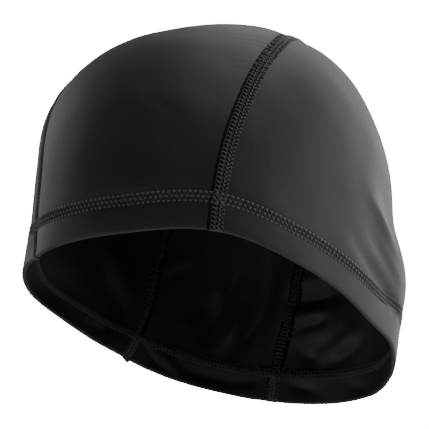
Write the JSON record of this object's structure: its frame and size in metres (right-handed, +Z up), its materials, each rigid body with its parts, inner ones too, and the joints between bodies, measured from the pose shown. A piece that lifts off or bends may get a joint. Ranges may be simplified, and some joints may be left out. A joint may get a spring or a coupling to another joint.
{
  "type": "helmet liner cap",
  "caption": "Close-fitting stretch cap of three panels with raised flatlock seams and a turned, cover-stitched hem that slopes down to the nape.",
  "frame": {"origin": "inside of the crown, where the top of the head bears on the cloth", "axes": "+Z up, -Y the wearer's front, +X the wearer's left, with the head level"},
  "size_m": [0.1688, 0.1868, 0.1711],
  "materials": {
    "cloth": "black warp-knit nylon and elastane with a smooth satin face",
    "seam_thread": "black textured nylon cover thread, matte"
  },
  "bodies": {
    "root": {"crown_panel": "cloth", "side_panel_left": "cloth", "side_panel_right": "cloth", "seam_left": "seam_thread", "seam_right": "seam_thread"}
  },
  "joints": []
}
